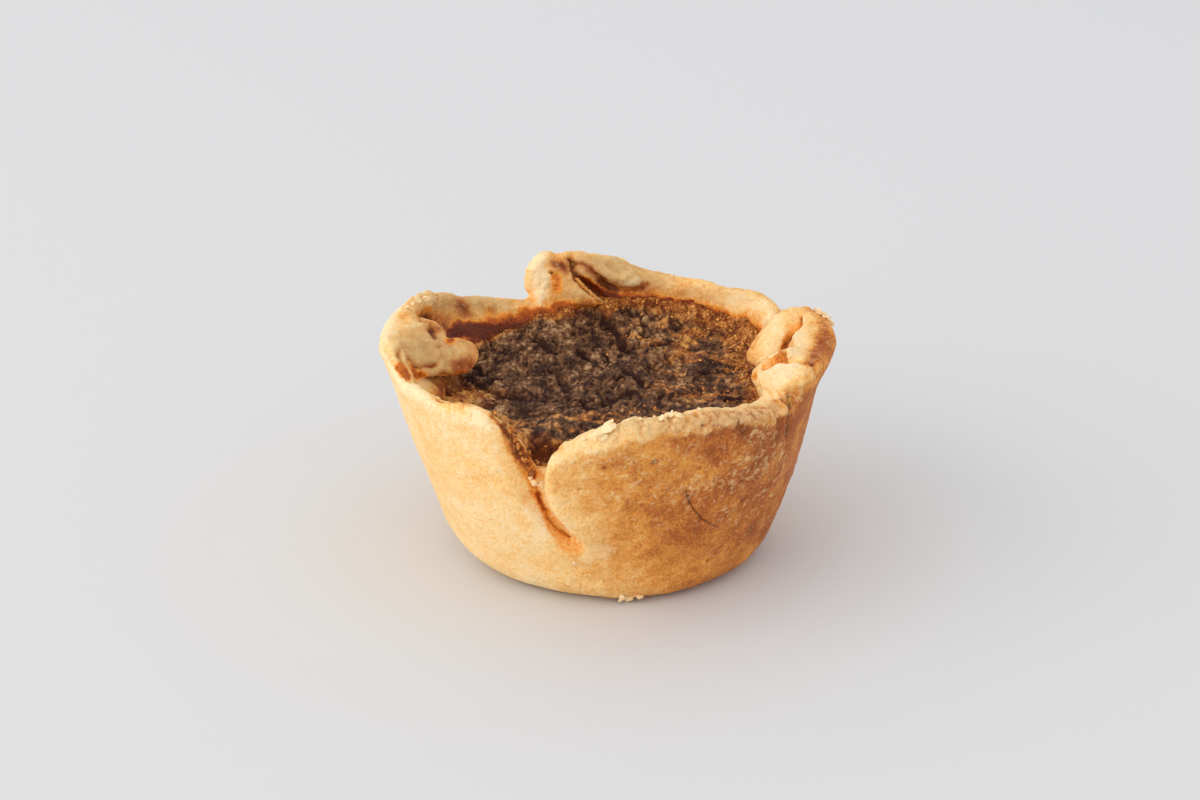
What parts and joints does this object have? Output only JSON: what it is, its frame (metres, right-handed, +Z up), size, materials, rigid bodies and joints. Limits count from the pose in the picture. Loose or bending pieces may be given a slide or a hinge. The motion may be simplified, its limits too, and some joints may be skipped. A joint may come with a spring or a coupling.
{
  "type": "butter tart",
  "caption": "Hand-folded pastry cup with uneven overlapping lobes round a baked, crusty brown syrup filling.",
  "frame": {"origin": "middle of the tart's outline, on the flat face it stands on", "axes": "+Z up, -Y towards the open notch between the two front lobes, +X to the right seen from the front"},
  "size_m": [0.0738, 0.0712, 0.0377],
  "materials": {
    "crust": "dry baked pastry",
    "filling": "crusty baked syrup"
  },
  "bodies": {
    "root": {"crust": "crust", "filling": "filling"}
  },
  "joints": []
}
